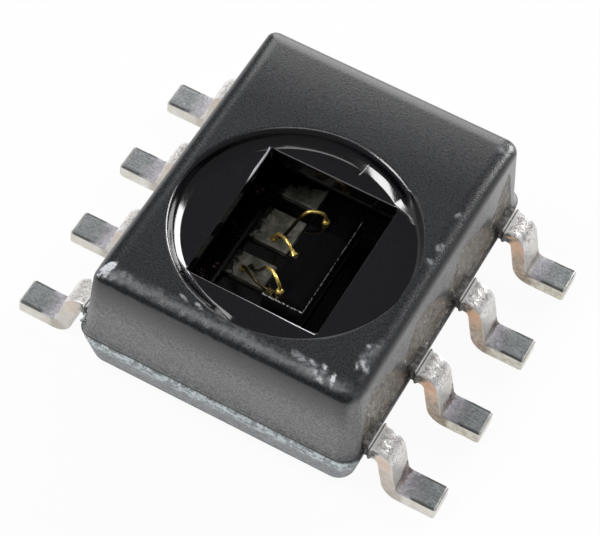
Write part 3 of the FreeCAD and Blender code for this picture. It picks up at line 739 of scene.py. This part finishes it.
def highlight_mask(points, near_edge):
    """The painted highlights on the cap's top edges, listed ones and a little along the near edge."""
    glare_zone = (points[:, 2] > 1.85) & ((points[:, 1] < -1.9) | (points[:, 0] > 1.45))
    warp = [unevenness(points + shift, 16, 3, glare_zone) for shift in (0, 9)]
    highlight_spots = near_edge * 0.07 * unit((points[:, 1] + 2.27) / 0.06)
    for x, y, long, wide, heading, strength in PAINTED_HIGHLIGHTS:
        turn = radians(heading)
        across, along = points[:, 0] - x, points[:, 1] - y
        ahead = (across * cos(turn) + along * sin(turn)) / long + 0.35 * warp[0]
        beside = (along * cos(turn) - across * sin(turn)) / wide + 0.35 * warp[1]
        highlight_spots = np.maximum(highlight_spots, strength * glare_zone * unit(1.6 - 1.2 * np.hypot(ahead, beside)))
    return highlight_spots


def window_glint(distance):
    """How bright each ray's stretch of the window's arris catches the light."""
    x, y = distance * COSINES, distance * SINES
    left = np.interp(y, (0.42, 0.5, 0.66), (0.06, 0.4, 1.0))
    near = np.interp(x, (-0.2, 0.3, 0.6), (0.14, 0.45, 0.95))
    on_left, on_near, on_far = x < 0.001 - WINDOW[0], y < 0.001 - WINDOW[1], y > WINDOW[1] - 0.001
    return np.select([on_left, on_near, on_far], [left, near, 0.18], 0.08)


def cap_rings():
    """The cap's rings from the window over seat, top, wall and foot to the chamber and back."""
    rings = Rings("seat", "edge", "turn", "glint", "dull")
    window = reach(*WINDOW_SHAPE)
    glint = window_glint(window)
    arris = WINDOW_EDGE * (EDGE_SHARES[0] + EDGE_SHARES[1] * glint)
    rim = window + arris
    rings.add(window + 0.012, CHAMBER_TOP, seat=1)
    rings.add(window, CHAMBER_TOP + 0.012, seat=1)
    for share in (0.3, 0.7):
        rings.add(window, CHAMBER_TOP + share * (seat_height(rim) - arris - CHAMBER_TOP), seat=1)
    for turn in quarter(7):
        height = seat_height(rim) - arris * (1 - sin(turn))
        rings.add(window + arris * (1 - cos(turn)), height, seat=1, glint=glint * sin(2 * turn))

    floor_end, wall_end = SEAT_TILT[0][0], SEAT_TILT[-1][0]
    radii = [floor_end * share for share in (0.7, 0.8, 0.9, 0.96)]
    radii += list(np.linspace(floor_end, wall_end, 42))
    dull_start = DULL_START[0] + (DULL_START[1] - DULL_START[0]) * STEEP_SHARE
    for step, radius in enumerate(radii):
        distance = np.maximum(radius, rim + 0.0012 * (step + 1))
        dull = DULL_SHARE * unit((radius - dull_start) / 0.03)
        seat = np.interp(radius, SEAT_BLACK, (1, 0)) * (1 - 0.6 * dull)
        rings.add(distance, seat_height(distance), seat=seat, dull=dull)

    outer = cap_reach(cap_high[2], CAP_EDGE[0])
    for share in (0.04, 0.12, 0.2, 0.28, 0.36, 0.44, 0.52, 0.6, 0.68, 0.76, 0.84, 0.91, 0.96, 0.99):
        distance = wall_end + share * (outer - wall_end)
        rings.add(distance, cap_high[2] - top_fall(distance), edge=max(0.0, share * 5 - 4) * 0.6)
    fall = top_fall(outer)
    steepness = (fall - top_fall(outer - 0.01)) / 0.01
    width = cap_reach(cap_high[2] - CAP_EDGE[1]) - outer
    for turn in quarter(20):
        height = cap_high[2] - fall - (CAP_EDGE[1] - fall) * (1 - cos(turn))
        wide = cap_reach(height, CAP_EDGE[0] * (1 - sin(turn)))
        share = unit((wide - outer) / width)
        lowered = height - steepness * width * share * (1 - share)
        rings.add(wide, lowered, edge=min(1.0, 0.6 + turn), turn=turn)

    low_wall = cap_low[2] + 0.012 + FLARE
    for height in np.linspace(cap_high[2] - CAP_EDGE[1], low_wall, 54)[1:]:
        rings.add(cap_reach(height), height, turn=2)
    for turn in quarter(9)[1:]:
        spread = FLARE_OUT * (1 - cos(turn))
        rings.add(cap_reach(low_wall, -spread), low_wall - FLARE * sin(turn), turn=2)
    rings.add(cap_reach(cap_low[2], -FLARE_OUT), cap_low[2], turn=2)
    chamber = reach(*CHAMBER_SHAPE)
    rings.add(chamber, cap_low[2], seat=1)
    rings.add(chamber, CHAMBER_TOP - 0.02, seat=1)
    rings.add(chamber - 0.02, CHAMBER_TOP, seat=1)
    return rings


def make_cap():
    """The upper moulding: window, seat, rounded top, drafted walls, hollow foot and chamber."""
    points, (seat, edge, turn, glint, dull) = cap_rings().joined()
    right = unit((points[:, 0] - 1.68) / 0.06)
    side = unit((turn - 1.25) / 0.28) * (1 - right) + unit((turn - 0.75) / 0.4) * right
    edge = np.where(turn > 1.9, 0, edge)
    pocket, smear = wall_masks(points, side)
    away = outward(points)
    torn = unevenness(points, 9, 4, pocket > 0)
    points[:, :2] -= away * (pocket * (0.022 + 0.014 * torn) - 0.012 * smear)[:, None]
    near_edge = edge * unit((-2.0 - points[:, 1]) / 0.1)
    lumps = (unevenness(points, 6.5, 2, near_edge > 0) * 0.003 - 0.003) * near_edge
    points[:, 2] += lumps
    points[:, :2] += away * lumps[:, None]
    masks = {"seat": seat, "side": side, "pocket": pocket, "smear": smear,
             "highlight_spots": highlight_mask(points, near_edge), "glint": glint, "dull": dull}
    faces = bridge(COUNT, len(points) // COUNT, closed=True)
    make_piece("cap_moulding", points, faces, ["cap_resin"], "cap", masks)


# Base and seal

def base_reach(height, inset=0.0):
    """Distance to the base's drafted side at a height, moved inwards by an inset."""
    drop = (BASE_TOP - height) / (BASE_TOP - base_low[2])
    half_x = base_high[0] - BASE_DRAW[0] * drop - inset
    half_y = base_high[1] - BASE_DRAW[1] * drop - inset
    return reach(half_x, half_y, BASE_CORNER - inset)


def base_rings():
    """The base's rings from the well over rim, ledge and side to the underside."""
    rings = Rings("inside", "shoulder")
    well = reach(*WELL_SHAPE)
    rim = reach(*RIM_SHAPE)
    rim_top = base_high[2]
    spots = [(well * 0.5, WELL_FLOOR), (well - 0.02, WELL_FLOOR), (well, WELL_FLOOR + 0.02),
             (well, rim_top - 0.012), (well + 0.012, rim_top)]
    spots += [(well + share * (rim - well), rim_top) for share in (0.1, 0.3, 0.5, 0.7, 0.9)]
    spots += [(rim - 0.01, rim_top), (rim, rim_top - 0.01), (rim, BASE_TOP)]
    for distance, height in spots:
        rings.add(distance, height, inside=1)
    ledge = base_reach(BASE_TOP, BASE_SHOULDER)
    for share in (0.3, 0.7, 0.9, 0.95):
        rings.add(rim + share * (ledge - rim), BASE_TOP, shoulder=1)
    for turn in quarter(7):
        height = BASE_TOP - BASE_SHOULDER * (1 - cos(turn))
        rings.add(base_reach(height, BASE_SHOULDER * (1 - sin(turn))), height, shoulder=1)
    low_side = base_low[2] + BASE_EDGE
    for share in np.linspace(0, 1, 26)[1:]:
        height = BASE_TOP - BASE_SHOULDER + share * (low_side - BASE_TOP + BASE_SHOULDER)
        rings.add(base_reach(height), height, shoulder=max(0.0, 1 - share * 6))
    for turn in quarter(9)[1:]:
        height = low_side - BASE_EDGE * sin(turn)
        rings.add(base_reach(height, BASE_EDGE * (1 - cos(turn))), height)
    underside = base_reach(base_low[2], BASE_EDGE)
    for share in (0.98, 0.6, 0.2):
        rings.add(underside * share, base_low[2])
    return rings


def make_base():
    """The lower moulding: well, rim, ledge, drafted sides and underside."""
    points, (inside, shoulder) = base_rings().joined()
    wear = unevenness(points, 9, 4, shoulder > 0.02)
    points[:, :2] -= outward(points) * (shoulder * unit(0.008 + 0.014 * wear))[:, None]
    last = len(points)
    points = np.concatenate([points, [[*AXIS, WELL_FLOOR], [*AXIS, base_low[2]]]])
    faces = bridge(COUNT, last // COUNT) + fan(COUNT, 0, last) + fan(COUNT, last - COUNT, last + 1)
    masks = {"inside": np.append(inside, [1, 0]), "shoulder": np.append(shoulder, [0, 0])}
    make_piece("base_moulding", points, faces, ["base_resin"], "base", masks)


def crumb(points, faces, place, size, generator):
    """Adds one broken crumb, a squashed irregular lump of six corners."""
    first = len(points)
    for x, y, z in ((1, 0, 0), (0, 1, 0), (-1, 0, 0), (0, -1, 0), (0, 0, 1), (0, 0, -1)):
        corner = Vector((x, y, z)) * size * generator.uniform(0.6, 1.2)
        spin = generator.uniform(-0.5, 0.5) * size
        points.append((place[0] + corner.x + spin, place[1] + corner.y - spin, place[2] + corner.z * 0.7))
    for low, high in ((0, 1), (1, 2), (2, 3), (3, 0)):
        faces.append((first + low, first + high, first + 4))
        faces.append((first + high, first + low, first + 5))


def make_seal():
    """The ragged line of adhesive and broken flash on the ledge, with its crumbs."""
    inner = reach(*CHAMBER_SHAPE)
    low, high = bead_low[2], bead_high[2]
    foot = cap_reach(cap_low[2])
    rings = [ring(inner, low)]
    for proud, height in ((0.035, low), (0.048, low + 0.012), (0.046, low + 0.026), (0.03, high + 0.004),
                          (0.0, high)):
        rings.append(ring(foot + proud, height))
    rings.append(ring(inner, high))
    points = np.concatenate(rings)
    ragged = unevenness(points, 22)
    ragged[:COUNT] = 0
    ragged[-COUNT:] = 0
    points[:, :2] += outward(points) * (ragged * 0.014 - 0.006 * (ragged != 0))[:, None]
    points[:, 2] += np.abs(ragged) * 0.008
    points = [tuple(point) for point in points]
    faces = bridge(COUNT, len(rings), closed=True)

    generator = random.Random(7)
    spots = ring(foot, high)
    for _ in range(1300):
        index = generator.randrange(COUNT)
        proud = generator.uniform(0.0, 0.045)
        x, y = spots[index, 0] + proud * COSINES[index], spots[index, 1] + proud * SINES[index]
        crumb(points, faces, (x, y, high - 0.3 * proud), generator.uniform(0.006, 0.018), generator)
    for _ in range(130):  # a heap at the near left corner
        x, y = generator.uniform(-1.965, -1.895), generator.uniform(-2.32, -2.06)
        crumb(points, faces, (x, y, generator.uniform(BASE_TOP, BASE_TOP + 0.12)),
              generator.uniform(0.01, 0.022), generator)
    points = np.array(points)
    points[:, 1] = np.clip(points[:, 1], base_low[1] + 0.002, base_high[1] - 0.002)
    make_piece("seal_line", points, faces, ["seal_resin"], "seal_bead")


# Leads

def lead_line():
    """Middle line of the part outside: places (x, z) and directions, from inside the body to the tip."""
    radius = BEND_INNER + LEAD_THICK / 2
    shift = LEAD_THICK / 2 / sin(SLOPE)
    ankle = HEEL + shift - LEAD_MIDDLE / tan(SLOPE)
    instep = HEEL + shift - LEAD_THICK / 2 / tan(SLOPE)
    cut = radius * tan(SLOPE / 2)
    fall, run = cut * sin(SLOPE), cut * cos(SLOPE)
    stations = []

    def straight(start, end):
        turn = atan2(end[1] - start[1], end[0] - start[0])
        count = max(2, int(dist(start, end) / LEAD_STEP))
        stations.extend((x, z, turn) for x, z in divided(start, end, count))

    def bend(centre, start_turn, end_turn, side):
        for index in range(BEND_STEPS):
            turn = start_turn + (end_turn - start_turn) * index / BEND_STEPS
            x = centre[0] - side * radius * sin(turn)
            stations.append((x, centre[1] + side * radius * cos(turn), turn))

    straight((JOG[0], LEAD_MIDDLE), (ankle - cut, LEAD_MIDDLE))
    bend((ankle - cut, LEAD_MIDDLE - radius), 0.0, -SLOPE, 1)
    straight((ankle + run, LEAD_MIDDLE - fall), (instep - run, LEAD_THICK / 2 + fall))
    bend((instep + cut, LEAD_THICK / 2 + radius), -SLOPE, 0.0, -1)
    straight((instep + cut, LEAD_THICK / 2), (TIP - 0.012, LEAD_THICK / 2))
    return stations


def section(width, thick, edge):
    """A rounded rectangle, counter-clockwise, with its sides divided: (sideways, up) pairs."""
    arcs = corner_arcs(width / 2, thick / 2, edge, 4)
    spots = []
    for arc, after in zip(arcs, arcs[1:] + arcs[:1]):
        spots += arc + divided(arc[-1], after[0], 6)[1:]
    return spots


def lead_stations(number):
    """Sections of a lead from its finger's tip to its foot's: x, z, direction, middle along Y and width."""
    place = ROWS[number - 1] if number <= 4 else ROWS[8 - number]
    row, finger_row = place * LEAD_PITCH, BED_MIDDLE + place * FINGER_PITCH
    finger_width = BROAD_FINGER if number == 2 else FINGER_WIDTH
    finger_tip = TIP_BONDED if number <= 4 else TIP_SPARE
    stations = [(x, LEAD_MIDDLE, 0.0, finger_row, finger_width)
                for x in np.linspace(finger_tip, JOG[1], 22, endpoint=False)]
    for x in np.linspace(JOG[1], JOG[0], 20, endpoint=False):
        share = (x - JOG[1]) / (JOG[0] - JOG[1])
        stations.append((x, LEAD_MIDDLE, 0.0, finger_row + share * (row - finger_row),
                         finger_width + share * (LEAD_WIDTH - finger_width)))
    for x, z, turn in lead_line():
        on_stub = z > LEAD_LOW and DAM_START <= x <= DAM_START + DAM_LONG
        stations.append((x, z, turn, row, LEAD_WIDTH + (2 * DAM_PROUD if on_stub else 0)))
    return stations


def make_lead(number):
    """One lead from its bonding finger to its foot, with wrinkled bends and sheared ends."""
    side = -1 if number <= 4 else 1
    stations = lead_stations(number)
    finger_tip = stations[0][0]
    count = len(section(1, 1, 0.1))
    points = []
    numbers = []  # for each point: run from the body's wall, top, bare near side, across and painted heel shade
    run = finger_tip - base_high[0]
    last = stations[0]
    for x, z, turn, along, width in stations:
        run += dist(last[:2], (x, z))
        last = (x, z)
        for sideways, up in section(width, LEAD_THICK, LEAD_EDGE):
            points.append([side * (x - up * sin(turn)), along + sideways, z + up * cos(turn)])
            on_top = up > LEAD_THICK / 2 - LEAD_EDGE * 0.75
            on_near = sideways < LEAD_EDGE - width / 2
            numbers.append((run, float(on_top), BARE_SIDES[number - 1] * on_near, abs(sideways) / (width / 2),
                            HEEL_SHADES[number - 1] * (0.65 + 0.7 * sideways / width)))
    points = np.array(points)
    faces = bridge(count, len(stations))
    for first, tip, step in ((0, finger_tip - CHAMFER, -0.012), (len(points) - count, TIP, 0.012)):
        end = points[first:first + count]
        centre = end.mean(axis=0)
        inner = centre + (end - centre) * np.array([1, 0.955, 0.91])
        inner[:, 0] = side * tip
        start = len(points)
        points = np.concatenate([points, inner, [[side * tip, centre[1], centre[2]]]])
        faces += belt(count, first, start) + fan(count, start, start + count)
        numbers += [(numbers[first][0] + step, 0.0, 0.0, 0.0, 0.0)] * (count + 1)

    masks = dict(zip(("run", "top", "near", "across", "heel_shade"), np.array(numbers).T))
    for point, run in zip(points, masks["run"]):
        spot = Vector((point[0] + 17.3 * number, point[1], point[2]))
        wrinkle = 0.22 if 0.1 < run < 0.5 else 0.12
        lift = fractal(spot, 14, 3) * 0.01 * wrinkle
        point[2] += lift if point[2] > 0.03 else 0.0
        point[1] += fractal(spot + Vector((5, 5, 5)), 5, 3) * 0.003
    name = "lead_%d" % number
    make_piece(name + "_formed", points, faces, ["tinned_lead"], name, masks)


# Die and wires

def make_die():
    """The die, with the chipped arris round its top face."""
    centre = (die_low + die_high) / 2
    half = (die_high - die_low) / 2
    corners = ((1, -1), (1, 1), (-1, 1), (-1, -1))
    spots = []
    for start, end, steps in zip(corners, corners[1:] + corners[:1], (150, 60, 150, 60)):
        spots += divided(start, end, steps)
    count = len(spots)
    rings = []
    for inset, drop in ((0.0, 2 * half[2]), (0.0, 0.012), (0.008, 0.0)):
        level = centre[:2] + np.array(spots) * (half[:2] - inset)
        rings.append(np.column_stack([level, np.full(count, die_high[2] - drop)]))
    for arris, top in zip(rings[1], rings[2]):
        chip = 0.01 * max(0.0, fractal(arris, 30, 3))
        arris[2] -= chip
        top[:2] += (centre[:2] - top[:2]) * chip
    last = 3 * count
    points = np.concatenate(rings + [[[*centre[:2], die_high[2]], [*centre[:2], die_low[2]]]])
    faces = bridge(count, 3) + fan(count, 2 * count, last) + fan(count, 0, last + 1)
    make_piece("sensor_die_sawn", points, faces, ["silicon", "sawn_silicon"], "sensor_die",
               face_materials=[0] * count + [1] * count + [0] * (2 * count), smooth=False)


def smooth_line(knots, steps=10):
    """A smooth line through knots: Catmull-Rom, with the ends doubled."""
    knots = [np.array(knot, float) for knot in knots]
    knots = [2 * knots[0] - knots[1]] + knots + [2 * knots[-1] - knots[-2]]
    line = []
    for before, start, end, after in zip(knots, knots[1:], knots[2:], knots[3:]):
        for step in range(steps):
            t = step / steps
            line.append(0.5 * (2 * start + (end - before) * t
                               + (2 * before - 5 * start + 4 * end - after) * t ** 2
                               + (3 * start - before - 3 * end + after) * t ** 3))
    line.append(knots[-2])
    return line


def make_wire(name, ball, knots, bright):
    """A ball bond, a smooth loop through knots, bright for a share of its length and painted dark as shade
    beyond it, and its flat stitch.
    """
    line = smooth_line([(ball[0], ball[1], ball[2] + BALL_TALL * 0.6)] + knots)
    lengths = np.cumsum([0.0] + [float(np.linalg.norm(b - a)) for a, b in zip(line, line[1:])])
    points = []
    for index, spot in enumerate(line):
        ahead = Vector(line[min(index + 1, len(line) - 1)] - line[max(index - 1, 0)]).normalized()
        across = ahead.cross(Vector((0, 0, 1)))
        if across.length < 0.05:
            across = Vector((1, 0, 0))
        across.normalize()
        upward = across.cross(ahead).normalized()
        flat = max(0.0, 1 - (lengths[-1] - lengths[index]) / STITCH)
        wide = WIRE_RADIUS * (1 + 0.7 * flat)
        tall = WIRE_RADIUS * (1 - 0.6 * flat)
        for step in range(WIRE_SIDES):
            turn = 2 * pi * step / WIRE_SIDES
            offset = across * (wide * cos(turn)) + upward * (tall * sin(turn))
            points.append(tuple(Vector(spot) + offset))
    faces = bridge(WIRE_SIDES, len(line))
    for first in (0, (len(line) - 1) * WIRE_SIDES):
        points.append(tuple(np.mean(points[first:first + WIRE_SIDES], axis=0)))
        faces += fan(WIRE_SIDES, first, len(points) - 1)
    faces += bridge(BALL_SIDES, len(BALL_PROFILE), first=len(points))
    for radius, rise in BALL_PROFILE:
        for step in range(BALL_SIDES):
            turn = 2 * pi * step / BALL_SIDES
            points.append((ball[0] + BALL_RADIUS * radius * cos(turn),
                           ball[1] + BALL_RADIUS * radius * sin(turn), ball[2] + BALL_TALL * rise))
    # Past the bright share the wire is painted dark: painted shade.
    dull = np.repeat(unit((lengths / lengths[-1] - bright) / 0.1), WIRE_SIDES)
    dull = np.concatenate([dull, np.zeros(len(points) - len(dull))])
    make_piece(name + "_drawn", points, faces, ["gold_wire"], name, {"dull": dull * WIRE_SHADE})


def make_wires():
    """The four bonds: two long loops that start on the die and two short ones that end on it."""
    frame_top = LEAD_LOW + LEAD_THICK
    pad_top = die_high[2] + 0.006
    lying = frame_top + WIRE_RADIUS * 0.5
    wires = (  # bright share, place of the ball, and the knots of the loop
        (0.36, (0.055, -0.86, pad_top), (0.045, -0.855, 1.3), (0.01, -0.845, 1.37), (-0.06, -0.8, 1.405),
         (-0.15, -0.745, 1.39), (-0.25, -0.68, 1.28), (-0.34, -0.62, 1.09), (-0.42, -0.57, 0.95),
         (-0.48, -0.53, lying), (-0.55, -0.49, lying)),
        (0.36, (0.055, 0.39, pad_top), (0.045, 0.385, 1.3), (0.01, 0.37, 1.37), (-0.06, 0.335, 1.405),
         (-0.17, 0.28, 1.39), (-0.26, 0.22, 1.24), (-0.33, 0.16, 1.05), (-0.38, 0.125, 0.93),
         (-0.43, 0.1, lying), (-0.49, 0.07, lying)),
        (-0.2, (-0.6, -0.58, frame_top), (-0.585, -0.61, 0.97), (-0.52, -0.7, 1.1), (-0.42, -0.8, 1.19),
         (-0.3, -0.88, 1.24), (-0.19, -0.92, 1.235), (-0.1, -0.925, pad_top + 0.01),
         (-0.04, -0.92, pad_top + 0.008)),
        (1.0, (-0.485, 0.03, frame_top), (-0.46, 0.01, 1.0), (-0.39, -0.05, 1.14), (-0.28, -0.13, 1.24),
         (-0.18, -0.19, 1.25), (-0.1, -0.235, pad_top + 0.014), (-0.04, -0.27, pad_top + 0.008)))
    for number, (bright, ball, *knots) in enumerate(wires, 1):
        make_wire("bond_wire_%d" % number, ball, knots, bright)


# Stage and light, with lengths in metres

FLOOR_HALF = 1.5
FLOOR_LOW = -0.00002
FLOOR_GLOW = 0.94  # share of plain white in what the camera and mirrors see of the floor


def make_floor():
    """A plain white floor at the board plane, white also where it is mirrored in metal."""
    mesh = bpy.data.meshes.new("stage_floor")
    corners = ((-1, -1), (1, -1), (1, 1), (-1, 1))
    mesh.from_pydata([(x * FLOOR_HALF, y * FLOOR_HALF, FLOOR_LOW) for x, y in corners], [], [(0, 1, 2, 3)])
    mesh.materials.append(bpy.data.materials.new("stage_floor"))
    shader = Shader(mesh.materials[0])
    shader.finish(Base_Color=0.92, Roughness=0.9, Specular_IOR_Level=0.0)
    seen = shader.node("LightPath", "Is Camera Ray") | shader.node("LightPath", "Is Glossy Ray")
    shader.overlay(seen * FLOOR_GLOW, shader.node("Emission", 0, {"Color": 1.0, "Strength": 1.0}))
    floor = add_object("stage_floor", mesh)


def softbox(name, azimuth, elevation, distance, width, height, level, roll=0.0):
    """A soft lamp aimed at the part. Level is the brightness that it gives a white card facing it."""
    data = bpy.data.lights.new(name, "AREA")
    data.shape = "RECTANGLE"
    data.size, data.size_y = width, height
    data.energy = level * 4 * pi * distance ** 2
    lamp = add_object(name, data)
    a, e = radians(azimuth), radians(elevation)
    towards = Vector((sin(a) * cos(e), -cos(a) * cos(e), sin(e)))
    lamp.location = towards * distance
    lamp.rotation_mode = "QUATERNION"
    lamp.rotation_quaternion = towards.to_track_quat("Z", "Y") @ Quaternion((0, 0, 1), radians(roll))


def make_light():
    """Plain soft studio light: boxes left in front, right behind, far off and overhead, in a dim room."""
    softbox("left_box", -63, 51, 0.3, 0.15, 0.085, 0.38, -32)
    softbox("right_box", 159, 22, 0.3, 0.17, 0.085, 0.48, -35)
    softbox("far_box", 203, 20, 0.3, 0.18, 0.22, 0.32)
    softbox("top_box", 0, 84, 0.34, 0.2, 0.13, 0.11)
    world = bpy.data.worlds.new("studio")
    bpy.context.scene.world = world
    room = Shader(world, "Background", "World Output")
    room.finish(Color=(0.95, 0.97, 1.0), Strength=0.13)
    white = room.node("Background", 0, {"Color": 1.0, "Strength": 1.0})
    room.overlay(room.node("LightPath", "Is Camera Ray"), white)
    bpy.context.scene.view_settings.view_transform = "Standard"


# The scene

MATERIALS = {}
for dress in (cap_resin, base_resin, seal_resin, tinned_lead, plated_paddle, silver_epoxy, silicon,
              sawn_silicon, sensing_polymer, porous_electrode, pad_metal, gold_wire):
    MATERIALS[dress.__name__] = bpy.data.materials.new(dress.__name__)
    dress(Shader(MATERIALS[dress.__name__]))

CARRIED_OVER = {
    "die_paddle": "plated_paddle",
    "die_attach": "silver_epoxy",
    "sensing_film": "sensing_polymer",
    "top_electrode": "porous_electrode",
    "bond_pads": "pad_metal",
}
for node_name, material_name in CARRIED_OVER.items():
    own_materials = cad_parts[node_name].data.materials
    own_materials.clear()
    own_materials.append(MATERIALS[material_name])

make_camera()
make_cap()
make_base()
make_seal()
for lead_number in range(1, 9):
    make_lead(lead_number)
make_die()
make_wires()
make_floor()
make_light()
